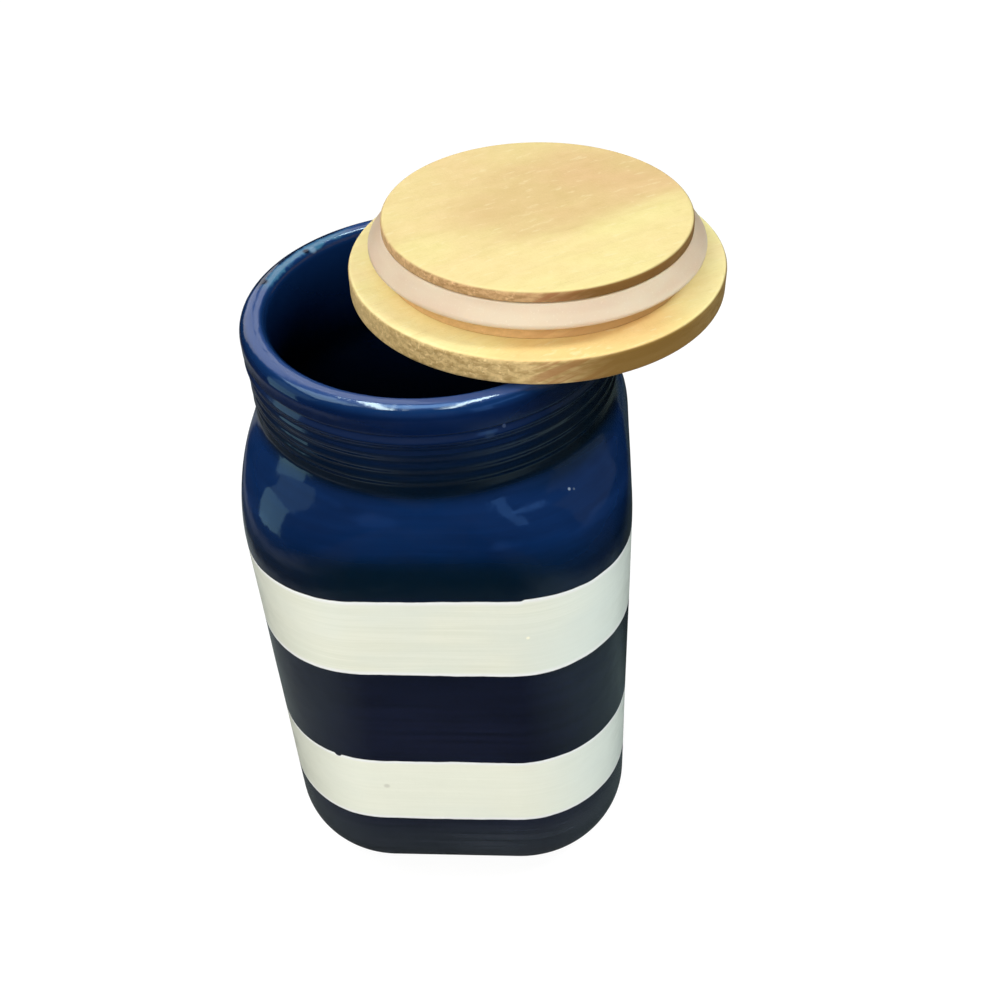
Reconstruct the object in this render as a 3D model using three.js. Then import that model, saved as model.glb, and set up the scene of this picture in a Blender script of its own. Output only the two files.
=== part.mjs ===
// Storage canister: a slip-cast, glazed ceramic jar with a rounded-square body and a round, ridged neck.
// Its wooden lid lies upside down across the rim, plug side up, with the silicone seal in its groove.
// Millimetres, +Z up. The origin is the centre of the flat base.
import * as THREE from "three";

// Jar body
const JAR_HEIGHT = 174;
const BODY_WIDTH = 100; // across the flats
const BODY_CORNER_RADIUS = 31.5; // upright corners, seen from above
const BODY_WALL = 5;
const FLOOR_THICKNESS = 6;
const HEEL_RADIUS = 18; // round between the wall and the base
const SHOULDER_HEIGHT = 24.3; // from the full body width up to the foot of the neck
const SHOULDER_FULLNESS = 1.9; // 2 is an ellipse, more is squarer

// Neck and mouth
const MOUTH_DIAMETER = 79;
const NECK_WALL = 5.9; // at the bottom of the grooves
const NECK_HEIGHT = 28.5; // from the foot of the neck to the rim
const NECK_FOOT_GROOVE = 6.1; // plain hollow between the shoulder and the lowest ridge
const COVE_DROP = 2.1; // where the shoulder starts to turn up into that hollow, below the foot of the neck
const COVE_RISE = 5.1; // where it has turned upright, above the foot of the neck
const LIP_HEIGHT = 7.2; // plain band under the rim
const LIP_STAND = 0.8; // how far the band stands out of the grooves
const LIP_OUTER_ROUND = 3.4;
const LIP_INNER_ROUND = 2.4;
const RIDGE_COUNT = 4;
const RIDGE_STAND = 0.6;

// Lid: a wide disc, and a plug glued to its inner face
const DISC_OVERHANG = -0.6; // disc edge past the lip, negative where it stops short
const DISC_THICKNESS = 6.4;
const PLUG_THICKNESS = 11.7;
const PLUG_CLEARANCE = 2.5; // between the plug and the mouth
const GLUE_LINE = 0.1;
const DISC_EDGE_ROUND = 0.9;
const PLUG_EDGE_ROUND = 0.6;

// Seal: a silicone ring in a groove round the plug, narrower towards the plug's face
const SEAL_HEIGHT = 4.8;
const SEAL_SQUEEZE = 0.9; // seal past the mouth wall, taken up when the jar is shut
const SEAL_TAPER = 2.9; // widest radius less the radius at its narrow edge
const SEAL_EDGE_ROUND = 0.8;
const SEAL_CLEARANCE = 0.3; // between the seal and its groove
const SEAL_LAND = 2.5; // plug lip between the seal groove and the plug face
const GROOVE_DEPTH = 2.2;

// How the lid lies on the rim
const LID_SHIFT_X = 25.9;
const LID_SHIFT_Y = 8;
const LID_TILT = 1.2; // degrees, its far-out side (+X) down
const LID_SEAT_GAP = 0.3;

// Fineness of the curves
const RING_POINTS = 48;
const LATHE_STEPS = 48;
const ARC_STEPS = 3;
const HEEL_STEPS = 5;
const SHOULDER_STEPS = 6;
const COVE_STEPS = 4;
const RIDGE_STEPS = 4;

const mouthRadius = MOUTH_DIAMETER / 2;
const grooveRadius = mouthRadius + NECK_WALL;
const lipRadius = grooveRadius + LIP_STAND;
const neckFootZ = JAR_HEIGHT - NECK_HEIGHT;
const shoulderZ = neckFootZ - SHOULDER_HEIGHT;

const mix = (from, to, share) => from + (to - from) * share;

// Points along an arc about a centre, from one angle to another, in degrees.
function arc(centreX, centreY, radius, fromDegrees, toDegrees, steps = ARC_STEPS) {
  return Array.from({ length: steps + 1 }, (_, i) => {
    const angle = THREE.MathUtils.degToRad(mix(fromDegrees, toDegrees, i / steps));
    return new THREE.Vector2(centreX + radius * Math.cos(angle), centreY + radius * Math.sin(angle));
  });
}

// Distance from the axis to a rounded square's edge, in the direction of an angle.
function roundedSquareReach(halfWidth, cornerRadius, angle) {
  const along = Math.max(Math.abs(Math.cos(angle)), Math.abs(Math.sin(angle)));
  const across = Math.min(Math.abs(Math.cos(angle)), Math.abs(Math.sin(angle)));
  const corner = halfWidth - cornerRadius;
  if ((halfWidth * across) / along <= corner) return halfWidth / along;
  const reach = corner * (along + across);
  return reach + Math.sqrt(reach * reach - 2 * corner * corner + cornerRadius * cornerRadius);
}

// A level section of the jar: a rounded square, or a circle where the corner radius is the half width.
const section = (z, halfWidth, cornerRadius = halfWidth) => ({ z, halfWidth, cornerRadius });

// A closed skin through level sections, from a centre point on the axis to another.
function loft(sections) {
  const points = [];
  const faces = [];
  for (const { z, halfWidth, cornerRadius } of sections) {
    for (let j = 0; j < RING_POINTS; j++) {
      const angle = (2 * Math.PI * j) / RING_POINTS;
      const reach = roundedSquareReach(halfWidth, cornerRadius, angle);
      points.push(reach * Math.cos(angle), reach * Math.sin(angle), z);
    }
  }
  const last = sections.length - 1;
  const firstCentre = points.length / 3;
  points.push(0, 0, sections[0].z);
  points.push(0, 0, sections[last].z);
  for (let j = 0; j < RING_POINTS; j++) {
    const next = (j + 1) % RING_POINTS;
    faces.push(firstCentre, next, j);
    faces.push(firstCentre + 1, last * RING_POINTS + j, last * RING_POINTS + next);
    for (let i = 0; i < last; i++) {
      const low = i * RING_POINTS;
      const high = low + RING_POINTS;
      faces.push(low + j, low + next, high + next);
      faces.push(low + j, high + next, high + j);
    }
  }
  const geometry = new THREE.BufferGeometry();
  geometry.setAttribute("position", new THREE.Float32BufferAttribute(points, 3));
  geometry.setIndex(faces);
  geometry.computeVertexNormals();
  return geometry;
}

// A turned piece: its half outline, radius against height, spun about the Z axis.
function turned(outline) {
  return new THREE.LatheGeometry(outline, LATHE_STEPS).rotateX(Math.PI / 2);
}

// Sections of the round between a wall and a floor.
function heelSections(floorZ, halfWidth, cornerRadius, radius) {
  return arc(0, floorZ + radius, radius, -90, 0, HEEL_STEPS).map(({ x, y }) => {
    const inset = radius - x;
    return section(y, halfWidth - inset, cornerRadius - inset);
  });
}

// A section part of the way from the full body width (1) to a round neck (0).
function blended(z, halfWidth, cornerRadius, neckRadius, spread) {
  return section(z, mix(neckRadius, halfWidth, spread), mix(neckRadius, cornerRadius, spread));
}

// How much of the body's extra width is left at a share of the shoulder's height.
const shoulderSpread = (rise) => (1 - rise ** SHOULDER_FULLNESS) ** (1 / SHOULDER_FULLNESS);

// Sections of the shoulder up to a share of its height.
function shoulderSections(halfWidth, cornerRadius, neckRadius, topRise = 1) {
  const topTurn = Math.asin(topRise ** (SHOULDER_FULLNESS / 2));
  return Array.from({ length: SHOULDER_STEPS + 1 }, (_, i) => {
    const rise = Math.sin((topTurn * i) / SHOULDER_STEPS) ** (2 / SHOULDER_FULLNESS);
    return blended(mix(shoulderZ, neckFootZ, rise), halfWidth, cornerRadius, neckRadius, shoulderSpread(Math.min(rise, 1)));
  });
}

// Sections of the smooth hollow that turns the top of the shoulder up into the neck.
function coveSections(halfWidth, cornerRadius, neckRadius) {
  const startRise = 1 - COVE_DROP / SHOULDER_HEIGHT;
  const start = shoulderSpread(startRise);
  const fall = -((startRise / start) ** (SHOULDER_FULLNESS - 1)) * ((COVE_DROP + COVE_RISE) / SHOULDER_HEIGHT);
  return Array.from({ length: COVE_STEPS }, (_, i) => {
    const u = (i + 1) / COVE_STEPS;
    const spread = start * (2 * u ** 3 - 3 * u ** 2 + 1) + fall * (u ** 3 - 2 * u ** 2 + u);
    return blended(neckFootZ + mix(-COVE_DROP, COVE_RISE, u), halfWidth, cornerRadius, neckRadius, spread);
  });
}

// The low rounded ridges between the hollow at the foot of the neck and the plain lip.
function ridgeSections() {
  const bottom = neckFootZ + NECK_FOOT_GROOVE;
  const top = JAR_HEIGHT - LIP_HEIGHT;
  const count = RIDGE_COUNT * RIDGE_STEPS;
  return Array.from({ length: count + 1 }, (_, i) => {
    const swell = Math.abs(Math.sin((Math.PI * i) / RIDGE_STEPS));
    return section(mix(bottom, top, i / count), grooveRadius + RIDGE_STAND * swell);
  });
}

function jarGeometry() {
  const halfWidth = BODY_WIDTH / 2;
  const innerHalfWidth = halfWidth - BODY_WALL;
  const innerCorner = BODY_CORNER_RADIUS - BODY_WALL;
  const innerHeel = HEEL_RADIUS - BODY_WALL;
  const rim = [
    ...arc(lipRadius - LIP_OUTER_ROUND, JAR_HEIGHT - LIP_OUTER_ROUND, LIP_OUTER_ROUND, 0, 90),
    ...arc(mouthRadius + LIP_INNER_ROUND, JAR_HEIGHT - LIP_INNER_ROUND, LIP_INNER_ROUND, 90, 180),
  ].map(({ x, y }) => section(y, x));
  return loft([
    ...heelSections(0, halfWidth, BODY_CORNER_RADIUS, HEEL_RADIUS),
    ...shoulderSections(halfWidth, BODY_CORNER_RADIUS, grooveRadius, 1 - COVE_DROP / SHOULDER_HEIGHT),
    ...coveSections(halfWidth, BODY_CORNER_RADIUS, grooveRadius),
    ...ridgeSections(),
    section(JAR_HEIGHT - LIP_HEIGHT + LIP_STAND, lipRadius),
    ...rim,
    ...shoulderSections(innerHalfWidth, innerCorner, mouthRadius).reverse(),
    ...heelSections(FLOOR_THICKNESS, innerHalfWidth, innerCorner, innerHeel).reverse(),
  ]);
}

const discRadius = lipRadius + DISC_OVERHANG;
const plugRadius = mouthRadius - PLUG_CLEARANCE;
const plugBottom = DISC_THICKNESS + GLUE_LINE;
const lidHeight = plugBottom + PLUG_THICKNESS;
const sealTop = lidHeight - SEAL_LAND - SEAL_CLEARANCE;
const sealBottom = sealTop - SEAL_HEIGHT;
const sealGrooveRadius = plugRadius - GROOVE_DEPTH;

// The lid pieces are drawn as they lie: outer face of the disc down, plug face up.
function discGeometry() {
  const round = discRadius - DISC_EDGE_ROUND;
  return turned([
    new THREE.Vector2(0, 0),
    ...arc(round, DISC_EDGE_ROUND, DISC_EDGE_ROUND, -90, 0),
    ...arc(round, DISC_THICKNESS - DISC_EDGE_ROUND, DISC_EDGE_ROUND, 0, 90),
    new THREE.Vector2(0, DISC_THICKNESS),
  ]);
}

function plugGeometry() {
  return turned([
    new THREE.Vector2(0, plugBottom),
    new THREE.Vector2(plugRadius, plugBottom),
    new THREE.Vector2(plugRadius, sealBottom - SEAL_CLEARANCE),
    new THREE.Vector2(sealGrooveRadius, sealBottom - SEAL_CLEARANCE),
    new THREE.Vector2(sealGrooveRadius, sealTop + SEAL_CLEARANCE),
    new THREE.Vector2(plugRadius, sealTop + SEAL_CLEARANCE),
    ...arc(plugRadius - PLUG_EDGE_ROUND, lidHeight - PLUG_EDGE_ROUND, PLUG_EDGE_ROUND, 0, 90),
    new THREE.Vector2(0, lidHeight),
  ]);
}

function sealGeometry() {
  const inner = sealGrooveRadius + SEAL_CLEARANCE;
  const round = mouthRadius + SEAL_SQUEEZE - SEAL_EDGE_ROUND;
  const lean = THREE.MathUtils.radToDeg(Math.atan2(SEAL_TAPER, SEAL_HEIGHT - 2 * SEAL_EDGE_ROUND));
  const start = new THREE.Vector2(inner, sealBottom);
  return turned([
    start,
    ...arc(round, sealBottom + SEAL_EDGE_ROUND, SEAL_EDGE_ROUND, -90, lean),
    ...arc(round - SEAL_TAPER, sealTop - SEAL_EDGE_ROUND, SEAL_EDGE_ROUND, lean, 90),
    new THREE.Vector2(inner, sealTop),
    start,
  ]);
}

const navyGlaze = new THREE.MeshStandardMaterial({ color: 0x12245c, roughness: 0.15, metalness: 0 });
const discWood = new THREE.MeshStandardMaterial({ color: 0xe9cd8c, roughness: 0.55, metalness: 0 });
const plugWood = new THREE.MeshStandardMaterial({ color: 0xeedca4, roughness: 0.55, metalness: 0 });
const sealSilicone = new THREE.MeshStandardMaterial({ color: 0xe3cbb2, roughness: 0.45, metalness: 0 });

function piece(name, geometry, material) {
  const mesh = new THREE.Mesh(geometry, material);
  mesh.name = name;
  return mesh;
}

// Its low side rests on the outermost flat of the rim.
const lidTilt = THREE.MathUtils.degToRad(LID_TILT);
const lidRise = (lipRadius - LIP_OUTER_ROUND - LID_SHIFT_X) * Math.tan(lidTilt);
const lid = new THREE.Group();
lid.position.set(LID_SHIFT_X, LID_SHIFT_Y, JAR_HEIGHT + LID_SEAT_GAP + lidRise);
lid.rotation.y = lidTilt;
lid.add(
  piece("lid_disc", discGeometry(), discWood),
  piece("lid_plug", plugGeometry(), plugWood),
  piece("lid_seal", sealGeometry(), sealSilicone),
);

const canister = new THREE.Group();
canister.add(piece("jar_body", jarGeometry(), navyGlaze), lid);

export default canister;
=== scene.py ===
import math

import bpy
from mathutils import Matrix, Vector


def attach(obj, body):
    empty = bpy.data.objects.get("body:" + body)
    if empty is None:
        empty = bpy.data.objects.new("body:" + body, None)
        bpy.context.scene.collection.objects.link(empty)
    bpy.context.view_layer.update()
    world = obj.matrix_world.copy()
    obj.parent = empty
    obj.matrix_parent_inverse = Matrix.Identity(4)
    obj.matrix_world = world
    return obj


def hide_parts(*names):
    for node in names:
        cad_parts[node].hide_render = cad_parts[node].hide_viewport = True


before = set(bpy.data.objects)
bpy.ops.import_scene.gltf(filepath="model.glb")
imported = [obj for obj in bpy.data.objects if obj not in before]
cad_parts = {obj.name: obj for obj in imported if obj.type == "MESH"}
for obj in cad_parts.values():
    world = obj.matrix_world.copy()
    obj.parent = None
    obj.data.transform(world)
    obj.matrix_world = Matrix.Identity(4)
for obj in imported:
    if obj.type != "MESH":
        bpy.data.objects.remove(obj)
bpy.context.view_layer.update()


# Jar body: one slip-cast ceramic shell, a rounded square that turns into a round neck with a heavy lip.
# Navy gloss glaze brushed on inside and out, with two off-white bands painted round it before firing.
# It stands on its flat base, and everything else rests on its rim. Sizes are in millimetres.
MM = 0.001
jar_height = 174.0
body_half, body_corner, wall, floor_top, heel = 50.0, 31.5, 5.0, 6.0, 18.0
mouth_radius, groove_radius, lip_radius = 39.5, 45.4, 46.2
neck_foot, shoulder_foot, shoulder_fullness = 145.5, 121.2, 1.9
cove_foot, cove_top = 143.4, 150.6
ridge_foot, ridge_top, ridge_count, ridge_stand, full_ridge_above = 152.2, 166.8, 4, 0.7, 0.76
lip_outer_round, lip_inner_round, lip_step = 3.4, 2.4, 0.8
painted_bands = ((93.34, 119.92), (31.11, 57.54))
unevenness = 0.35
steps_round = 224


def add(tree, kind, inputs=(), **settings):
    """A node with its settings, each input linked to a socket or set to a value."""
    made = tree.nodes.new(kind)
    for key, value in settings.items():
        setattr(made, key, value)
    for socket, value in dict(inputs).items():
        if isinstance(value, bpy.types.NodeSocket):
            tree.links.new(value, made.inputs[socket])
        else:
            made.inputs[socket].default_value = value
    return made


def calc(tree, operation, *values):
    """One sum on numbers."""
    return add(tree, "ShaderNodeMath", enumerate(values), operation=operation).outputs[0]


def times(tree, first, *others):
    """A product of two or more numbers."""
    for other in others:
        first = calc(tree, "MULTIPLY", first, other)
    return first


def scaled(tree, vector, factor):
    """A vector times a number."""
    return add(tree, "ShaderNodeVectorMath", {0: vector, "Scale": factor}, operation="SCALE").outputs[0]


def split(tree, vector):
    """A vector's x, y and z."""
    return add(tree, "ShaderNodeSeparateXYZ", {0: vector}).outputs


def dress(tree, geometry, material):
    """A tree's end: real geometry in one material."""
    real = add(tree, "GeometryNodeRealizeInstances", {"Geometry": geometry}).outputs[0]
    dressed = add(tree, "GeometryNodeSetMaterial", {"Geometry": real, "Material": material}).outputs[0]
    tree.links.new(dressed, tree.nodes.new("NodeGroupOutput").inputs[0])
    return tree


def new_tree(name, inputs):
    """A geometry tree with named inputs, and their sockets."""
    tree = bpy.data.node_groups.new(name, "GeometryNodeTree")
    for label, kind in inputs:
        tree.interface.new_socket(label, in_out="INPUT", socket_type="NodeSocket" + kind)
    tree.interface.new_socket("Geometry", in_out="OUTPUT", socket_type="NodeSocketGeometry")
    return tree, tree.nodes.new("NodeGroupInput").outputs


def section_sweep():
    """Rings through level sections, each a rounded square or, where both its sizes agree, a circle.
    A profile point is (half width, corner radius, height); rows past the rim row are marked as inside."""
    tree, given = new_tree("section_sweep", (
        ("Profile", "Geometry"), ("Steps round", "Int"), ("Rim row", "Int"),
        ("Axis", "Vector"), ("Tilt", "Float"), ("Material", "Material")))
    rows = add(tree, "GeometryNodeAttributeDomainSize", {0: given["Profile"]}).outputs["Point Count"]
    columns = calc(tree, "ADD", given["Steps round"], 1)
    sheet = add(tree, "GeometryNodeMeshGrid",
                {"Size X": 1.0, "Size Y": 1.0, "Vertices X": columns, "Vertices Y": rows}).outputs["Mesh"]
    position = add(tree, "GeometryNodeInputPosition").outputs[0]
    flat = split(tree, position)
    angle = times(tree, calc(tree, "ADD", flat[0], 0.5), 2 * math.pi)
    row = calc(tree, "ROUND", times(tree, calc(tree, "ADD", flat[1], 0.5), calc(tree, "SUBTRACT", rows, 1)))
    sampled = add(tree, "GeometryNodeSampleIndex", data_type="FLOAT_VECTOR", domain="POINT")
    for socket, value in (("Geometry", given["Profile"]), ("Value", position), ("Index", row)):
        tree.links.new(value, sampled.inputs[socket])
    half, corner, height = split(tree, sampled.outputs[0])

    cosine, sine = calc(tree, "COSINE", angle), calc(tree, "SINE", angle)
    steep, shallow = calc(tree, "ABSOLUTE", cosine), calc(tree, "ABSOLUTE", sine)
    along, across = calc(tree, "MAXIMUM", steep, shallow), calc(tree, "MINIMUM", steep, shallow)
    centre = calc(tree, "SUBTRACT", half, corner)
    on_flat = calc(tree, "DIVIDE", half, along)
    lead = times(tree, centre, calc(tree, "ADD", along, across))
    under = calc(tree, "SUBTRACT", times(tree, corner, corner), times(tree, centre, centre, 2.0))
    root = calc(tree, "SQRT", calc(tree, "MAXIMUM", calc(tree, "MULTIPLY_ADD", lead, lead, under), 0.0))
    on_corner = calc(tree, "ADD", lead, root)
    is_corner = calc(tree, "GREATER_THAN", times(tree, on_flat, across), centre)
    reach = add(tree, "ShaderNodeMix", {"Factor": is_corner, "A": on_flat, "B": on_corner}).outputs[0]

    ring = add(tree, "ShaderNodeCombineXYZ",
               {0: times(tree, reach, cosine), 1: times(tree, reach, sine), 2: height})
    tilted = add(tree, "ShaderNodeVectorRotate", {"Vector": ring.outputs[0], "Angle": given["Tilt"]},
                 rotation_type="Y_AXIS").outputs[0]
    placed = add(tree, "ShaderNodeVectorMath", {0: tilted, 1: given["Axis"]}, operation="ADD").outputs[0]
    inside = calc(tree, "GREATER_THAN", row, given["Rim row"])
    marked = add(tree, "GeometryNodeStoreNamedAttribute",
                 {"Geometry": sheet, "Name": "inside", "Value": inside},
                 data_type="FLOAT", domain="POINT").outputs[0]
    swept = add(tree, "GeometryNodeSetPosition", {"Geometry": marked, "Position": placed}).outputs[0]
    closed = add(tree, "GeometryNodeMergeByDistance",
                 {"Geometry": swept, "Distance": 0.002 * MM}).outputs[0]
    smooth = add(tree, "GeometryNodeSetShadeSmooth", {"Geometry": closed}).outputs[0]
    return dress(tree, smooth, given["Material"])


def neck_ridges():
    """The ridges round the neck, and the slight unevenness of a hand-finished pot."""
    tree, given = new_tree("neck_ridges", (
        ("Geometry", "Geometry"), ("Ridge count", "Int"), ("Ridge foot", "Float"),
        ("Ridge top", "Float"), ("Ridge stand", "Float"), ("Full above", "Float"),
        ("Unevenness", "Float"), ("Material", "Material")))
    position = add(tree, "GeometryNodeInputPosition").outputs[0]
    x, y, z = split(tree, position)

    # Round waves up the neck, full height only on the top one.
    span = calc(tree, "SUBTRACT", given["Ridge top"], given["Ridge foot"])
    share = calc(tree, "DIVIDE", calc(tree, "SUBTRACT", z, given["Ridge foot"]), span)
    climb = add(tree, "ShaderNodeClamp", {"Value": share}).outputs[0]
    turn = calc(tree, "SINE", times(tree, climb, math.pi, given["Ridge count"]))
    fullness = add(tree, "ShaderNodeMapRange",
                   {"Value": climb, "From Min": calc(tree, "SUBTRACT", given["Full above"], 0.04),
                    "From Max": given["Full above"], "To Min": 0.5}).outputs[0]
    inner = add(tree, "GeometryNodeInputNamedAttribute", {"Name": "inside"}, data_type="FLOAT").outputs[0]
    touch = add(tree, "ShaderNodeTexNoise", {"Vector": position, "Scale": 38.0, "Detail": 1.0}).outputs[0]
    outer = calc(tree, "SUBTRACT", 1.0, inner)
    swell = times(tree, turn, turn, fullness, outer, calc(tree, "ADD", touch, 0.5))
    flat = add(tree, "ShaderNodeCombineXYZ", {0: x, 1: y})
    outward = add(tree, "ShaderNodeVectorMath", {0: flat.outputs[0]}, operation="NORMALIZE").outputs[0]
    ridged = add(tree, "GeometryNodeSetPosition",
                 {"Geometry": given["Geometry"],
                  "Offset": scaled(tree, outward, times(tree, swell, given["Ridge stand"]))}).outputs[0]

    # Unevenness all over, except where the base stands and the lid rests.
    sway = add(tree, "ShaderNodeTexNoise", {"Vector": position, "Scale": 24.0, "Detail": 1.0}).outputs[0]
    clear_of_base = add(tree, "ShaderNodeMapRange",
                        {"Value": z, "From Min": 2 * MM, "From Max": 25 * MM}).outputs[0]
    clear_of_rim = add(tree, "ShaderNodeMapRange",
                       {"Value": z, "From Min": 173 * MM, "From Max": 166 * MM}).outputs[0]
    amount = times(tree, calc(tree, "SUBTRACT", sway, 0.5), given["Unevenness"],
                   clear_of_base, clear_of_rim)
    normal = add(tree, "GeometryNodeInputNormal").outputs[0]
    uneven = add(tree, "GeometryNodeSetPosition",
                 {"Geometry": ridged, "Offset": scaled(tree, normal, amount)}).outputs[0]
    return dress(tree, uneven, given["Material"])


def form(name, profile, steps):
    """A plain mesh named for its piece, from a profile in millimetres and (tree, inputs) steps."""
    seed = bpy.data.meshes.new(name + "_profile")
    seed.from_pydata([[size * MM for size in point] for point in profile], [], [])
    made = bpy.data.objects.new(name, seed)
    bpy.context.scene.collection.objects.link(made)
    for tree, values in steps:
        modifier = made.modifiers.new(tree.name, "NODES")
        modifier.node_group = tree
        sockets = {item.name: item.identifier
                   for item in tree.interface.items_tree if item.in_out == "INPUT"}
        for label, value in values.items():
            modifier[sockets[label]] = value
    shaped = made.evaluated_get(bpy.context.evaluated_depsgraph_get())
    plain = bpy.data.meshes.new_from_object(shaped)
    made.modifiers.clear()
    made.data = plain
    plain.name = name
    return made


def arc(centre_x, centre_y, radius, start, stop, steps):
    """Points along an arc, between two angles in degrees."""
    turns = [math.radians(start + (stop - start) * i / steps) for i in range(steps + 1)]
    return [(centre_x + radius * math.cos(t), centre_y + radius * math.sin(t)) for t in turns]


def shoulder(half, corner, neck, steps):
    """Sections from the body's full width up to a round neck."""
    sections = []
    for i in range(steps + 1):
        turn = math.pi / 2 * i / steps
        rise, spread = math.sin(turn) ** (2 / shoulder_fullness), math.cos(turn) ** (2 / shoulder_fullness)
        sections.append((neck + (half - neck) * spread, neck + (corner - neck) * spread,
                         shoulder_foot + (neck_foot - shoulder_foot) * rise))
    return sections


def cove(half, corner, neck, steps):
    """The shoulder's last sections, turned up into the neck with a smooth hollow."""
    risen = (cove_foot - shoulder_foot) / (neck_foot - shoulder_foot)
    lower = math.asin(risen ** (shoulder_fullness / 2))
    start = math.cos(lower) ** (2 / shoulder_fullness)
    fall = -(start / math.cos(lower) * math.sin(lower)) / (
        (cove_foot - shoulder_foot) / math.sin(lower) * math.cos(lower)) * (cove_top - cove_foot)
    sections = []
    for i in range(steps + 1):
        u = i / steps
        spread = start * (2 * u ** 3 - 3 * u ** 2 + 1) + fall * (u ** 3 - 2 * u ** 2 + u)
        sections.append((neck + (half - neck) * spread, neck + (corner - neck) * spread,
                         cove_foot + (cove_top - cove_foot) * u))
    return sections


# Up the outside from the middle of the base, over the lip, and down the inside to the middle of the floor.
jar_profile = [(0, 0, 0)]
jar_profile += [(body_half - heel + x, body_corner - heel + x, z)
                for x, z in arc(0, heel, heel, -90, 0, 24)]
jar_profile += [(body_half, body_corner, heel + (shoulder_foot - heel) * i / 36) for i in range(1, 36)]
jar_profile += [point for point in shoulder(body_half, body_corner, groove_radius, 60)
                if point[2] < cove_foot - 0.2]
jar_profile += cove(body_half, body_corner, groove_radius, 18)
jar_profile += [(groove_radius, groove_radius, cove_top + (ridge_top - cove_top) * i / 72)
                for i in range(1, 72)]
lip_flare = [(lip_radius - lip_step * (1 - i / 4) ** 2, ridge_top + 0.25 * i) for i in range(5)]
lip_outside = arc(lip_radius - lip_outer_round, jar_height - lip_outer_round, lip_outer_round, 0, 90, 12)
lip_inside = arc(mouth_radius + lip_inner_round, jar_height - lip_inner_round, lip_inner_round, 90, 180, 10)
jar_profile += [(r, r, z) for r, z in lip_flare + lip_outside]
rim_row = len(jar_profile) + 6
jar_profile += [(r, r, z) for r, z in lip_inside]
jar_profile += shoulder(body_half - wall, body_corner - wall, mouth_radius, 24)[::-1]
jar_profile += [(body_half - heel + x, body_corner - heel + x, z)
                for x, z in arc(0, floor_top + heel - wall, heel - wall, 0, -90, 14)]
jar_profile += [(0, 0, floor_top)]


def finish(name):
    """A new material: its node tree and its shader."""
    made = bpy.data.materials.new(name)
    made.use_nodes = True
    return made, made.node_tree, made.node_tree.nodes["Principled BSDF"]


def millimetres(tree):
    """Object coordinates, in millimetres."""
    return scaled(tree, add(tree, "ShaderNodeTexCoord").outputs["Object"], 1000.0)


def facing(tree):
    """The way the surface faces, along x, y and z."""
    return split(tree, add(tree, "ShaderNodeTexCoord").outputs["Normal"])


def grain(tree, vector, per_mm, detail=2.0, rough=0.5):
    """Noise with its own count per millimetre along each axis, around 0.5."""
    stretched = add(tree, "ShaderNodeVectorMath", {0: vector, 1: per_mm}, operation="MULTIPLY").outputs[0]
    return add(tree, "ShaderNodeTexNoise",
               {"Vector": stretched, "Scale": 1.0, "Detail": detail, "Roughness": rough}).outputs[0]


def off_centre(tree, noise, size):
    """Noise around 0.5 turned into an offset of up to half a size either way."""
    return times(tree, calc(tree, "SUBTRACT", noise, 0.5), size)


def ease(tree, value, low, high, start=0.0, stop=1.0):
    """A smooth change from start to stop as the value goes from low to high."""
    return add(tree, "ShaderNodeMapRange", {"Value": value, "From Min": low, "From Max": high,
                                            "To Min": start, "To Max": stop},
               interpolation_type="SMOOTHSTEP").outputs[0]


def stretch(tree, value, begin, full, fading, end):
    """1 over a stretch of the value, easing to 0 at both ends."""
    return times(tree, ease(tree, value, begin, full), ease(tree, value, end, fading))


def tint(tree, share, first, second, blend="MIX"):
    """Two colours mixed by a share."""
    made = add(tree, "ShaderNodeMix", data_type="RGBA", blend_type=blend)
    for index, value in ((0, share), (6, first), (7, second)):
        if isinstance(value, bpy.types.NodeSocket):
            tree.links.new(value, made.inputs[index])
        else:
            made.inputs[index].default_value = value if index == 0 else (*value, 1)
    return made.outputs[2]


def ladder(tree, value, stops):
    """Colours at places from 0 to 1 along a value."""
    made = add(tree, "ShaderNodeValToRGB", {0: value})
    steps = made.color_ramp.elements
    while len(steps) < len(stops):
        steps.new(0.5)
    for step, (place, colour) in zip(steps, stops):
        step.position, step.color = place, (*colour, 1)
    return made.outputs[0]


def spot(tree, vector, centre, radius):
    """1 at a point, fading to 0 at a radius, in millimetres."""
    away = add(tree, "ShaderNodeVectorMath", {0: vector, 1: centre}, operation="DISTANCE").outputs["Value"]
    return ease(tree, away, radius * 0.35, radius, 1.0, 0.0)


glaze, tree, shader = finish("navy_glaze")
place = millimetres(tree)
x, y, z = split(tree, place)
inside = add(tree, "ShaderNodeAttribute", attribute_name="inside").outputs["Fac"]
outside = calc(tree, "SUBTRACT", 1.0, inside)
reach = calc(tree, "SQRT", calc(tree, "ADD", times(tree, x, x), times(tree, y, y)))
upward = facing(tree)[2]

# The glaze: near black on the walls, a clearer blue on the shoulder and lip, where it lies thinner, and
# greyer at the heel as a painted reflection of the white table.
heel_navy_painted_reflection = [(0.0, (0.0220, 0.0270, 0.0330)), (0.13, (0.0190, 0.0250, 0.0350))]
wall_navy = [(0.19, (0.0044, 0.0066, 0.0190)), (0.66, (0.0032, 0.0062, 0.0200)),
             (0.73, (0.0013, 0.0080, 0.0260))]
shoulder_navy = [(0.785, (0.0012, 0.0148, 0.0680)), (0.842, (0.0016, 0.0172, 0.0780))]
neck_navy = [(0.860, (0.0012, 0.0058, 0.0150)), (0.88, (0.0011, 0.0056, 0.0140)),
             (0.93, (0.0013, 0.0072, 0.0260))]
lip_navy = [(0.965, (0.0016, 0.0090, 0.0430)), (1.0, (0.0026, 0.0130, 0.0580))]
navy = ladder(tree, calc(tree, "DIVIDE", z, jar_height),
              heel_navy_painted_reflection + wall_navy + shoulder_navy + neck_navy + lip_navy)

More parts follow.
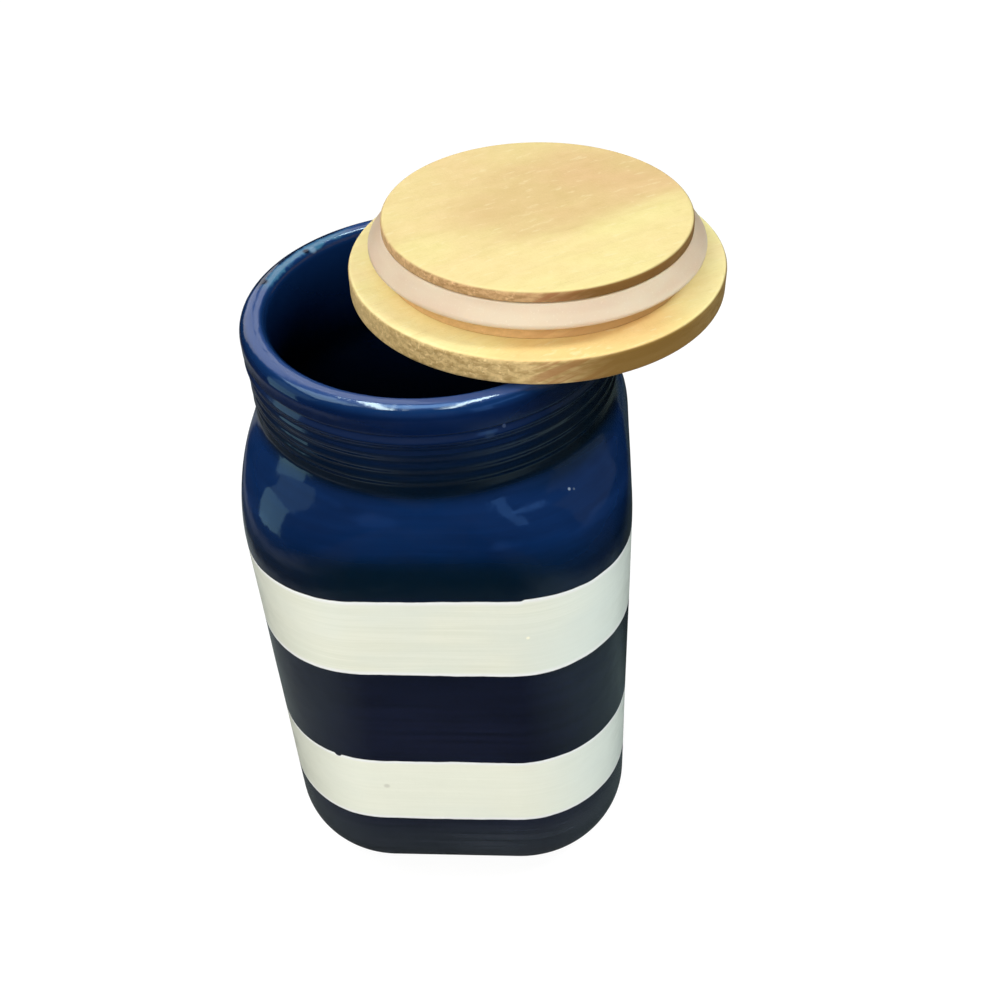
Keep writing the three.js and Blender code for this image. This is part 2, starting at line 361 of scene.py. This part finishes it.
# Its clouding, the strokes of the brush on the walls, and paler swipes high on the shoulder.
cloud = grain(tree, place, (0.028, 0.028, 0.028), 3.0)
clouding = ladder(tree, cloud, [(0.3, (0.55, 0.6, 0.62)), (0.7, (1.4, 1.35, 1.3))])
navy = tint(tree, 0.75, navy, clouding, "MULTIPLY")
strokes = grain(tree, place, (0.02, 0.02, 0.55), 3.0, 0.6)
brushing = ladder(tree, strokes, [(0.3, (0.62, 0.66, 0.68)), (0.72, (1.5, 1.35, 1.35))])
navy = tint(tree, ease(tree, z, 132, 119, 0.35, 0.9), navy, brushing, "MULTIPLY")
swipes = ease(tree, grain(tree, place, (0.045, 0.045, 0.16), 2.0), 0.52, 0.66, 0.0, 0.45)
navy = tint(tree, times(tree, swipes, stretch(tree, z, 133, 137, 146, 150)), navy, (0.0060, 0.0300, 0.1200))

# Where it pooled low on the shoulder, and painted shade of the lid, darker on the right of the neck and lip
# beneath it.
pooled = times(tree, ease(tree, calc(tree, "ABSOLUTE", x), 40, 16), stretch(tree, z, 119.5, 122, 129, 136))
navy = tint(tree, times(tree, pooled, 0.8), navy, (0.0010, 0.0075, 0.0150))
clouded_x = calc(tree, "ADD", x, times(tree, cloud, 14))
lid_painted_shade = times(tree, ease(tree, clouded_x, 26, 42), ease(tree, z, 144.5, 147))
navy = tint(tree, times(tree, lid_painted_shade, 0.6), navy, (0.0022, 0.0064, 0.0088))

# Lighter blue on the ridges' upward slopes, a painted reflection of the ceiling; on the rim, where the
# glaze breaks;
# and most of all on the rim's upward-facing crown, a painted reflection of the pale back wall, partly the
# glaze thinning there. Under the lid's painted shade the ridges and rim are less light.
crest_painted_reflection = times(tree, ease(tree, upward, 0.08, 0.5), ease(tree, z, 157, 164, 0.35, 1.1),
              ease(tree, z, 168, 166.5), calc(tree, "MULTIPLY_ADD", lid_painted_shade, -0.45, 0.6))
navy = tint(tree, crest_painted_reflection, navy, (0.010, 0.022, 0.070))
rim = times(tree, ease(tree, z, 171.6, 173.6), ease(tree, reach, 39.6, 40.4))
lighter_rim = times(tree, rim, calc(tree, "MULTIPLY_ADD", lid_painted_shade, -0.5, 0.85))
navy = tint(tree, lighter_rim, navy, (0.0040, 0.0270, 0.1050))
# Painted reflection on the rim's upward-facing crown, partly the glaze thinning there.
crown_painted_reflection = times(tree, ease(tree, upward, 0.80, 0.97), rim)
navy = tint(tree, times(tree, crown_painted_reflection, 0.85), navy, (0.027, 0.066, 0.210))

# Kiln marks: the glaze ran thin along the inner lip at the back left, with a dark edge outside it.
back_left = times(tree, ease(tree, y, 3, 9), ease(tree, x, -22, -30))
frayed = calc(tree, "ADD", reach, off_centre(tree, grain(tree, place, (0.3, 0.3, 0.3), 3.0), 3.0))
thick_edge = times(tree, ease(tree, frayed, 42.6, 43.4), rim, back_left)
navy = tint(tree, thick_edge, navy, (0.004, 0.016, 0.050))
thin_edge = times(tree, stretch(tree, frayed, 40.2, 41.0, 42.4, 43.4), rim, back_left, 0.8)
navy = tint(tree, thin_edge, navy, (0.050, 0.170, 0.280))

# Chips and specks in the glaze: on the rim, then on the shoulder and the neck.
for centre, radius, colour in (((-32.4, 24.3, 173.9), 1.4, (0.14, 0.24, 0.36)),
                               ((-34.0, 23.2, 173.9), 1.3, (0.003, 0.010, 0.03)),
                               ((-42.3, 8.0, 174.0), 1.8, (0.002, 0.008, 0.03)),
                               ((34.0, -36.0, 143.9), 0.5, (0.22, 0.28, 0.38)),
                               ((35.1, -35.5, 143.5), 0.4, (0.08, 0.11, 0.17)),
                               ((16.7, -42.9, 165.3), 1.5, (0.012, 0.026, 0.065)),
                               ((19.8, -41.0, 166.4), 0.6, (0.045, 0.07, 0.14)),
                               ((-38.2, -24.6, 145.9), 0.6, (0.09, 0.12, 0.15))):
    navy = tint(tree, spot(tree, place, centre, radius), navy, colour)

# The inside, painted darker towards the floor as painted shade deep in the jar.
inside_painted_shade = tint(tree, ease(tree, z, 110, 160), (0.0014, 0.0050, 0.0150), (0.0032, 0.0190, 0.0800))
navy = tint(tree, outside, inside_painted_shade, navy)

# The painted bands: wavering edges, an overlap where the brush came round, and a nick in the lower one.
waver = calc(tree, "ADD", off_centre(tree, grain(tree, place, (0.022, 0.022, 0.05), 1.0), 2.0),
             off_centre(tree, grain(tree, place, (0.16, 0.16, 0.05), 2.0), 0.55))
height = calc(tree, "ADD", z, waver)
bands = []
for low, high in painted_bands:
    off_middle = calc(tree, "ABSOLUTE", calc(tree, "SUBTRACT", height, (low + high) / 2))
    bands.append(calc(tree, "SUBTRACT", (high - low) / 2, off_middle))
into = calc(tree, "MAXIMUM", *bands)
overlap = times(tree, stretch(tree, x, 22.3, 23.6, 27, 40), ease(tree, z, 110, 115), ease(tree, y, 0, -10))
nick = spot(tree, place, (-29.9, -47.9, 57.6), 1.2)
into = calc(tree, "ADD", into, calc(tree, "SUBTRACT", times(tree, overlap, 0.55), times(tree, nick, 1.1)))
paint = times(tree, ease(tree, into, -0.12, 0.12), outside)

# Their off-white: dragged by the brush, greyer towards the sides, whiter along the edges, and two specks.
# The lower band is painted whiter as painted light, low on the jar.
drag = grain(tree, place, (0.03, 0.03, 1.1), 4.0, 0.65)
blush = grain(tree, place, (0.035, 0.035, 0.05), 2.0)
cream = tint(tree, ease(tree, drag, 0.35, 0.68), (0.75, 0.765, 0.64), (0.81, 0.82, 0.70))
cream = tint(tree, ease(tree, blush, 0.4, 0.7, 0.0, 0.6), cream, (0.72, 0.765, 0.69))
# Painted light: the lower band whiter.
cream = tint(tree, ease(tree, z, 70, 60, 0.0, 0.5), cream, (0.88, 0.895, 0.77))
cream = tint(tree, ease(tree, x, 18, 46, 0.0, 0.6), cream, (0.71, 0.795, 0.765))
cream = tint(tree, ease(tree, x, -22, -44, 0.0, 0.7), cream, (0.655, 0.675, 0.575))
thick_paint = times(tree, ease(tree, into, 0.3, 1.7, 1.0, 0.0), paint)
cream = tint(tree, times(tree, thick_paint, 0.9), cream, (0.86, 0.875, 0.87))
brown_speck = times(tree, spot(tree, place, (-17.2, -50.0, 46.3), 1.2), 0.45)
cream = tint(tree, brown_speck, cream, (0.46, 0.44, 0.37))
pale_speck = spot(tree, place, (23.9, -49.7, 107.2), 0.7)
cream = tint(tree, pale_speck, cream, (0.95, 0.93, 0.74))

# Bare clay where the base was wiped before firing.
clay = (0.52, 0.44, 0.35)
ragged_z = calc(tree, "ADD", z, grain(tree, place, (0.3, 0.3, 0.3)))
bare = times(tree, outside, ease(tree, ragged_z, 0.95, 0.75))
coloured = tint(tree, bare, tint(tree, paint, navy, cream), clay)
tree.links.new(coloured, shader.inputs["Base Color"])

# A gloss a little uneven all over and duller on the paint, and the skin that the glaze and the paint leave.
peel = grain(tree, place, (0.22, 0.22, 0.22), 2.0)
sag = grain(tree, place, (0.07, 0.07, 0.07), 2.0)
gloss = ease(tree, peel, 0.3, 0.7, 0.07, 0.14)
for share, rise in ((paint, 0.12), (rim, 0.01), (bare, 0.6)):
    gloss = calc(tree, "MULTIPLY_ADD", share, rise, gloss)
tree.links.new(gloss, shader.inputs["Roughness"])
relief = times(tree, ease(tree, into, -0.25, 0.35), outside, 0.09)
for skin, rise in ((sag, 0.35), (peel, 0.09), (strokes, 0.012)):
    relief = calc(tree, "MULTIPLY_ADD", skin, rise, relief)
bump = add(tree, "ShaderNodeBump", {"Height": relief, "Distance": MM, "Strength": 1.0})
tree.links.new(bump.outputs[0], shader.inputs["Normal"])

sweep = section_sweep()
jar = form("jar", jar_profile, [
    (sweep, {"Steps round": steps_round, "Rim row": rim_row, "Axis": (0, 0, 0), "Tilt": 0.0,
             "Material": glaze}),
    (neck_ridges(), {"Ridge count": ridge_count, "Ridge foot": ridge_foot * MM, "Ridge top": ridge_top * MM,
                     "Ridge stand": ridge_stand * MM, "Full above": full_ridge_above,
                     "Unevenness": unevenness * MM, "Material": glaze}),
])
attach(jar, "jar")
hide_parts("jar_body")


# Lid disc: a turned wooden disc, sanded and lightly oiled, with its edges just broken.
# It lies upside down across the rim, its outer face down, and dips a little to the right.
lid_shift_x, lid_shift_y, lid_gap, lid_tilt = 25.9, 8.0, 0.3, math.radians(1.2)
lid_rise = lid_gap + (lip_radius - lip_outer_round - lid_shift_x) * math.tan(lid_tilt)
lid_axis = Vector((lid_shift_x, lid_shift_y, jar_height + lid_rise)) * MM
disc_radius, disc_thickness, disc_round = 45.6, 6.4, 0.9
grain_turn, year_width = math.radians(34), 5.2
all_rows_outside = 10000


def held(outline, gap=0.25):
    """The outline with a point close to each end of its long straight runs, so that flats stay flat."""
    points = [outline[0]]
    for (x0, y0), (x1, y1) in zip(outline, outline[1:]):
        run = math.hypot(x1 - x0, y1 - y0)
        if run > 4 * gap:
            points.append((x0 + (x1 - x0) * gap / run, y0 + (y1 - y0) * gap / run))
            points.append((x1 + (x0 - x1) * gap / run, y1 + (y0 - y1) * gap / run))
        points.append((x1, y1))
    return points


def turned(name, outline, material):
    """A piece of the lid: an outline of (radius, height) points turned about the lid's axis."""
    return form(name, [(r, r, z) for r, z in held(outline)], [
        (sweep, {"Steps round": steps_round, "Rim row": all_rows_outside, "Axis": lid_axis,
                 "Tilt": lid_tilt, "Material": material})])


def shade(colour, red, green, blue):
    """A colour with each of its parts multiplied."""
    return colour[0] * red, colour[1] * green, colour[2] * blue


def sawn_face(tree, here, board, pores, face, tan, pith, heart):
    """The colour across a board: soft figure with a tan heart, faint growth rings, short flecks and pores.
    The heart is its middle across the grain, half width, half width with the fade, start along the grain,
    depth, and how golden the wood is beside it."""
    along, across, up = split(tree, board)
    middle, near, far, begin, depth, gold = heart
    waving = calc(tree, "ADD", across, off_centre(tree, grain(tree, board, (0.05, 0.12, 0.12), 3.0), 22.0))
    from_heart = calc(tree, "ABSOLUTE", calc(tree, "SUBTRACT", waving, middle))
    streak = times(tree, ease(tree, from_heart, near, far, 1.0, 0.0), ease(tree, along, begin, begin + 24),
                   ease(tree, along, begin + 70, begin + 95, 1.0, 0.2))
    figure = times(tree, grain(tree, board, (0.011, 0.026, 0.03), 2.0), 0.5)
    figure = calc(tree, "MULTIPLY_ADD", streak, depth, figure)
    figure = calc(tree, "ADD", figure, ease(tree, waving, -10, 24, 0.0, gold))
    colour = tint(tree, ease(tree, figure, 0.25, 0.85), face, tan)

    mottle = grain(tree, board, (0.2, 0.32, 0.32), 4.0, 0.65)
    mottling = ladder(tree, mottle, [(0.3, (0.93, 0.92, 0.86)), (0.7, (1.04, 1.05, 1.12))])
    colour = tint(tree, 0.6, colour, mottling, "MULTIPLY")
    flush = grain(tree, here, (0.045, 0.06, 0.05), 2.0)
    flushing = ladder(tree, flush, [(0.35, (0.985, 1.02, 1.0)), (0.65, (1.01, 0.965, 1.03))])
    colour = tint(tree, 0.8, colour, flushing, "MULTIPLY")

    bend = off_centre(tree, grain(tree, board, (0.012, 0.05, 0.05), 2.0), 9.0)
    sideways = calc(tree, "ADD", calc(tree, "SUBTRACT", across, pith[0]), bend)
    above = calc(tree, "SUBTRACT", up, pith[1])
    squared = calc(tree, "ADD", times(tree, sideways, sideways), times(tree, above, above))
    years = calc(tree, "DIVIDE", calc(tree, "SQRT", squared), year_width)
    late_wood = ease(tree, calc(tree, "FRACT", years), 0.55, 1.0)
    colour = tint(tree, times(tree, late_wood, 0.07), colour, shade(tan, 0.72, 0.62, 0.5))
    fleck = ease(tree, grain(tree, board, (0.24, 0.8, 0.8), 3.0, 0.6), 0.57, 0.70)
    colour = tint(tree, times(tree, fleck, 0.34), colour, shade(face, 1.04, 1.09, 1.4))
    return tint(tree, times(tree, pores, 0.15), colour, (0.42, 0.27, 0.10))


def turned_edge(tree, here, board, lines, speckle, end_grain, side, painted_light_below):
    """The colour round a turned edge: grain lines, speckled end grain, slanting layers right of the middle,
    painted shade on the right-facing side, painted light and painted glints on the left-facing side, and
    painted light below a height."""
    flank = tint(tree, lines, side, shade(side, 0.6, 0.55, 0.45))
    speckling = times(tree, end_grain, ease(tree, speckle, 0.0, 1.0, 0.02, 0.55))
    flank = tint(tree, speckling, flank, shade(side, 0.5, 0.46, 0.36))
    rightward = facing(tree)[0]
    east, _, up = split(tree, here)
    slanting = calc(tree, "MULTIPLY_ADD", east, -0.42, up)
    slope = add(tree, "ShaderNodeCombineXYZ", {0: times(tree, east, 0.03), 1: times(tree, slanting, 0.5)})
    layers = add(tree, "ShaderNodeTexNoise",
                 {"Vector": slope.outputs[0], "Scale": 1.0, "Detail": 3.0}).outputs[0]
    right_of_middle = stretch(tree, rightward, -0.08, 0.1, 0.3, 0.5)
    layers = times(tree, ease(tree, layers, 0.44, 0.56), right_of_middle, 0.85)
    flank = tint(tree, layers, flank, shade(side, 0.58, 0.40, 0.35))
    # Painted shade: the right-facing side painted darker.
    dark = times(tree, ease(tree, rightward, -0.02, 0.42, 0.0, 0.93),
                 ease(tree, rightward, 0.7, 1.0, 1.0, 0.8))
    flank = tint(tree, dark, flank, shade(side, 0.29, 0.21, 0.08))
    # Painted light on the left-facing side, and painted glints there.
    flank = tint(tree, ease(tree, rightward, -0.5, -0.95, 0.0, 0.4), flank, shade(side, 1.2, 1.25, 1.3))
    painted_glints = ease(tree, grain(tree, board, (1.0, 1.0, 1.0), 3.0, 0.6), 0.57, 0.68, 0.0, 0.5)
    left_painted_glints = times(tree, painted_glints, ease(tree, rightward, 0.1, -0.2))
    flank = tint(tree, left_painted_glints, flank, shade(side, 1.4, 1.5, 1.7))
    # Painted light below a height: on the plug, its side below the seal, which the seal shades.
    return tint(tree, ease(tree, up, painted_light_below + 2, painted_light_below, 0.0, 0.6), flank, shade(side, 1.34, 1.38, 1.3))


def turned_wood(name, face, tan, side, pith, shift, heart, painted_light_below):
    """Pale close-grained wood, sawn on its faces and turned on its edges. The shift picks another board.
    Its grain runs from the front left to the back right of the lid, and the pith lies off to one side."""
    made, tree, shader = finish(name)
    here = add(tree, "ShaderNodeVectorMath", {0: millimetres(tree), 1: shift}, operation="ADD").outputs[0]
    board = add(tree, "ShaderNodeMapping", {"Vector": here, "Rotation": (0.0, 0.0, -grain_turn)}).outputs[0]
    pores = ease(tree, grain(tree, board, (0.22, 2.4, 2.4), 2.0, 0.6), 0.6, 0.78)
    lines = ease(tree, grain(tree, board, (0.02, 0.5, 0.9), 3.0, 0.6), 0.35, 0.7)
    speckle = ease(tree, grain(tree, board, (1.3, 1.3, 1.3), 3.0, 0.7), 0.42, 0.66)

    normal = add(tree, "ShaderNodeTexCoord").outputs["Normal"]
    edge = ease(tree, calc(tree, "ABSOLUTE", facing(tree)[2]), 0.5, 0.95, 1.0, 0.0)
    grain_way = (math.cos(grain_turn), math.sin(grain_turn), 0.0)
    end = add(tree, "ShaderNodeVectorMath", {0: normal, 1: grain_way},
              operation="DOT_PRODUCT").outputs["Value"]
    end_grain = times(tree, ease(tree, calc(tree, "ABSOLUTE", end), 0.35, 0.95), edge)
    flat = sawn_face(tree, here, board, pores, face, tan, pith, heart)
    flank = turned_edge(tree, here, board, lines, speckle, end_grain, side, painted_light_below)
    tree.links.new(tint(tree, edge, flat, flank), shader.inputs["Base Color"])

    tree.links.new(calc(tree, "MULTIPLY_ADD", pores, 0.2, 0.6), shader.inputs["Roughness"])
    shader.inputs["Specular IOR Level"].default_value = 0.15
    marks = times(tree, pores, -0.05)
    for mark, rise in ((lines, 0.03), (speckle, 0.025)):
        marks = calc(tree, "MULTIPLY_ADD", mark, rise, marks)
    bump = add(tree, "ShaderNodeBump", {"Height": marks, "Distance": MM, "Strength": 0.8})
    tree.links.new(bump.outputs[0], shader.inputs["Normal"])
    return made


disc_wood = turned_wood("disc_wood", face=(0.865, 0.745, 0.345), tan=(0.865, 0.615, 0.245),
                        side=(0.66, 0.48, 0.22), pith=(-70, 120), shift=(0, 0, 0),
                        heart=(-60, 10, 34, -45, 0.64, 0.0), painted_light_below=0)
disc_outline = [(0, 0)]
disc_outline += arc(disc_radius - disc_round, disc_round, disc_round, -90, 0, 6)
disc_outline += arc(disc_radius - disc_round, disc_thickness - disc_round, disc_round, 0, 90, 6)
disc_outline += [(0, disc_thickness)]
disc = turned("lid_disc_wood", disc_outline, disc_wood)
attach(disc, "lid")
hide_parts("lid_disc")


# Lid plug: a thicker wooden disc glued to the lid's inner face, which goes into the mouth.
# A square groove turned round its side holds the seal.
plug_radius, plug_bottom, plug_top, plug_round = 37.0, 6.5, 18.2, 0.9
groove_bottom, groove_top, groove_floor = 10.3, 15.7, 34.8

plug_wood = turned_wood("plug_wood", face=(0.755, 0.62, 0.275), tan=(0.645, 0.45, 0.205),
                        side=(0.60, 0.375, 0.18), pith=(60, 90), shift=(31, 47, 13),
                        heart=(14, 4, 24, 50, 0.38, 0.32), painted_light_below=198)
plug_outline = [(0, plug_bottom), (plug_radius, plug_bottom), (plug_radius, groove_bottom),
                (groove_floor, groove_bottom), (groove_floor, groove_top), (plug_radius, groove_top)]
plug_outline += arc(plug_radius - plug_round, plug_top - plug_round, plug_round, 0, 90, 5)
plug_outline += [(0, plug_top)]
plug = turned("lid_plug_wood", plug_outline, plug_wood)
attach(plug, "lid")
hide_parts("lid_plug")


# Lid seal: a moulded silicone ring, translucent and flesh coloured, stretched into the plug's groove.
# It is narrower towards the plug's face, so that it leads itself into the mouth.
seal_inner, seal_outer, seal_bottom, seal_top, seal_round, seal_taper = 35.1, 40.4, 10.6, 15.4, 0.8, 2.9

silicone, tree, shader = finish("seal_silicone")
place = millimetres(tree)
cloudy = grain(tree, place, (0.05, 0.05, 0.3), 2.0)
dust = ease(tree, grain(tree, place, (2.2, 2.2, 2.2), 2.0), 0.6, 0.75)
flesh = tint(tree, ease(tree, cloudy, 0.35, 0.65), (0.645, 0.495, 0.355), (0.675, 0.55, 0.40))
tree.links.new(tint(tree, times(tree, dust, 0.25), flesh, (0.86, 0.78, 0.66)), shader.inputs["Base Color"])
tree.links.new(ease(tree, cloudy, 0.3, 0.7, 0.34, 0.46), shader.inputs["Roughness"])
shader.inputs["Subsurface Weight"].default_value = 0.25
shader.inputs["Subsurface Radius"].default_value = (1.0, 0.55, 0.35)
shader.inputs["Subsurface Scale"].default_value = 2 * MM
skin = add(tree, "ShaderNodeBump", {"Height": times(tree, dust, 0.02), "Distance": MM, "Strength": 0.6})
tree.links.new(skin.outputs[0], shader.inputs["Normal"])

lean = math.degrees(math.atan2(seal_taper, seal_top - seal_bottom - 2 * seal_round))
seal_outline = [(seal_inner, seal_bottom)]
seal_outline += arc(seal_outer - seal_round, seal_bottom + seal_round, seal_round, -90, lean, 8)
seal_outline += arc(seal_outer - seal_taper - seal_round, seal_top - seal_round, seal_round, lean, 90, 8)
seal_outline += [(seal_inner, seal_top), (seal_inner, seal_bottom)]
seal = turned("lid_seal_ring", seal_outline, silicone)
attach(seal, "seal")
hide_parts("lid_seal")


# Table and room: one plain white sheet that the jar stands on, in a plain white room.
# Both look white to the camera and the sheet keeps the jar's shadow, but the glaze reflects them dim.
bpy.ops.mesh.primitive_plane_add(size=8)
table = bpy.context.object
table.name = "table"
table.location.z = -0.2 * MM
paper = bpy.data.materials.new("white_paper")
paper.use_nodes = True
table.data.materials.append(paper)

tree = paper.node_tree
tree.nodes.clear()
path = add(tree, "ShaderNodeLightPath").outputs
across, along, _ = split(tree, millimetres(tree))
away = calc(tree, "SQRT", calc(tree, "ADD", times(tree, across, across), times(tree, along, along)))
black, dark, left_grey, right_grey = (0, 0, 0), (0.02, 0.02, 0.02), (0.19, 0.22, 0.22), (0.15, 0.20, 0.19)
under_jar = (0.05, 0.055, 0.055)
dim = ladder(tree, calc(tree, "MULTIPLY_ADD", across, 1 / 800, 0.5), [
    (0.06, dark), (0.17, (0.20, 0.21, 0.22)), (0.38, left_grey), (0.46, under_jar),
    (0.54, under_jar), (0.62, right_grey), (0.69, right_grey), (0.76, dark)])
dim = tint(tree, ease(tree, along, -140, -260, 0.0, 0.8), dim, black)
behind_right = times(tree, ease(tree, along, 10, 50, 0.0, 0.75), ease(tree, across, 0, 60))
dim = tint(tree, behind_right, dim, black)
farther_left = times(tree, stretch(tree, away, 165, 210, 240, 300), ease(tree, across, 110, 40), 0.8)
dim = tint(tree, farther_left, dim, black)
cover = tint(tree, path["Is Glossy Ray"], (0.75, 0.75, 0.75), dim)
table_top = add(tree, "ShaderNodeBsdfDiffuse", {"Color": cover}).outputs[0]
matt = add(tree, "ShaderNodeBsdfDiffuse", {"Color": (1, 1, 1, 1)}).outputs[0]
glow = add(tree, "ShaderNodeEmission", {"Color": (1, 1, 1, 1), "Strength": 1.06}).outputs[0]
glow_share = ease(tree, away, 250, 700, 0.86, 1.0)
white = add(tree, "ShaderNodeMixShader", {0: glow_share, 1: matt, 2: glow}).outputs[0]
shown = calc(tree, "MAXIMUM", path["Is Camera Ray"], path["Is Transmission Ray"])
mixed = add(tree, "ShaderNodeMixShader", {0: shown, 1: table_top, 2: white}).outputs[0]
tree.links.new(mixed, add(tree, "ShaderNodeOutputMaterial").inputs[0])

world = bpy.data.worlds.new("room")
bpy.context.scene.world = world
world.use_nodes = True
tree = world.node_tree
tree.nodes.clear()
path = add(tree, "ShaderNodeLightPath").outputs
walls = add(tree, "ShaderNodeMix", {"Factor": path["Is Glossy Ray"], "A": 0.16, "B": 0.015}).outputs[0]
shown = calc(tree, "MAXIMUM", path["Is Camera Ray"], path["Is Transmission Ray"])
level = add(tree, "ShaderNodeMix", {"Factor": shown, "A": walls, "B": 1.0}).outputs[0]
room = add(tree, "ShaderNodeBackground", {"Color": (1, 1, 1, 1), "Strength": level}).outputs[0]
tree.links.new(room, add(tree, "ShaderNodeOutputWorld").inputs[0])


# Lamps: a ceiling light and soft fills that light the jar without showing in its gloss, pale walls behind
# and to the right, and ceiling strips and windows that only show in its gloss.
# Places and sizes are in metres.
warm, daylight = (1.0, 0.985, 0.95), (0.16, 0.42, 1.0)
strip_light, wall_light = (0.8, 1.0, 1.0), (0.95, 0.96, 1.0)
jar_middle, jar_neck, jar_shoulder = (0, 0, 0.12), (-0.04, 0, 0.17), (0, -0.02, 0.14)
right_shoulder = (0.02, -0.04, 0.145)


def lamp(name, place, aim, width, height, power, colour, in_gloss=True, lights_up=True):
    """A rectangular lamp aimed at a point."""
    light = bpy.data.lights.new(name, "AREA")
    light.shape = "RECTANGLE"
    light.size, light.size_y, light.energy, light.color = width, height, power, colour
    made = bpy.data.objects.new(name, light)
    bpy.context.scene.collection.objects.link(made)
    made.location = place
    made.rotation_euler = (Vector(aim) - Vector(place)).to_track_quat("-Z", "Y").to_euler()
    made.visible_glossy, made.visible_diffuse = in_gloss, lights_up
    made.visible_camera = False


for name, place, aim, width, height, power, colour in (
        ("ceiling", (-0.05, 0.1, 1.35), (-0.05, 0.1, 0), 0.8, 0.8, 0.6, warm),
        ("right_fill", (0.62, 0.05, 0.83), jar_middle, 0.3, 0.3, 4.6, (0.88, 0.97, 1.0)),
        ("left_fill", (-0.55, -0.1, 0.82), jar_middle, 0.5, 0.5, 3.2, (1.0, 0.97, 0.9)),
        ("viewer_fill", (-0.1, -0.85, 0.72), (0, 0, 0.1), 0.8, 0.6, 7.9, (1.0, 0.99, 0.96))):
    lamp(name, place, aim, width, height, power, colour, in_gloss=False)
for name, place, aim, width, height, power, colour in (
        ("back_wall", (-0.06, 0.5, 0.61), jar_neck, 0.3, 0.3, 0.42, wall_light),
        ("back_left_wall", (-0.4, 0.45, 0.48), jar_neck, 0.4, 0.5, 0.8, wall_light),
        ("right_wall", (0.6, 0.0, 0.3), (0, 0, 0.14), 0.5, 0.5, 0.09, (0.85, 1.0, 0.9))):
    lamp(name, place, aim, width, height, power, colour)
for name, place, aim, width, height, power, colour in (
        ("ceiling_strip_left", (-0.27, 0.12, 1.1), (-0.27, 0.12, 0), 0.095, 0.9, 6.4, strip_light),
        ("ceiling_strip_right", (0.12, 0.12, 1.1), (0.12, 0.12, 0), 0.085, 0.9, 5.8, strip_light),
        ("ceiling_middle", (-0.075, 0.19, 1.1), (-0.075, 0.19, 0), 0.28, 0.5, 2.6, (0.35, 0.65, 1.0)),
        ("ceiling_left", (-0.6, 0.0, 0.95), (-0.03, -0.02, 0.17), 0.5, 0.4, 2.2, (0.6, 0.87, 1.0)),
        ("left_window_low", (-0.5, -0.07, 0.13), jar_shoulder, 0.19, 0.26, 0.147, (0.5, 0.92, 1.0)),
        ("left_window_high", (-0.5, -0.1, 0.36), jar_shoulder, 0.26, 0.2, 0.075, (0.5, 0.85, 1.0)),
        ("right_window_upright", (0.377, -0.581, 0.545), right_shoulder, 0.12, 0.4, 0.2, daylight),
        ("right_window_level", (0.441, -0.37, 0.701), right_shoulder, 0.28, 0.13, 0.17, daylight)):
    lamp(name, place, aim, width, height, power, colour, lights_up=False)


# Camera: the photograph's viewpoint, above the front of the jar and a little to its right.
# It is turned and tilted down towards the jar and rolled slightly, as the photograph was taken.
camera_place, turn, tilt, roll = Vector((35.659, -254.589, 330.429)) * MM, 0.08233, 0.71392, -0.05243
sensor, focal_share = 36.0, 1.225
forward = Vector((-math.sin(turn) * math.cos(tilt), math.cos(turn) * math.cos(tilt), -math.sin(tilt)))
level_right = Vector((math.cos(turn), math.sin(turn), 0))
level_up = level_right.cross(forward)
right = level_right * math.cos(roll) + level_up * math.sin(roll)
up = level_up * math.cos(roll) - level_right * math.sin(roll)
camera = bpy.data.objects.new("camera", bpy.data.cameras.new("camera"))
bpy.context.scene.collection.objects.link(camera)
camera.data.sensor_width, camera.data.lens = sensor, sensor * focal_share
camera.matrix_world = Matrix.Translation(camera_place) @ Matrix((right, up, -forward)).transposed().to_4x4()
bpy.context.scene.camera = camera
bpy.context.scene.view_settings.view_transform = "Standard"
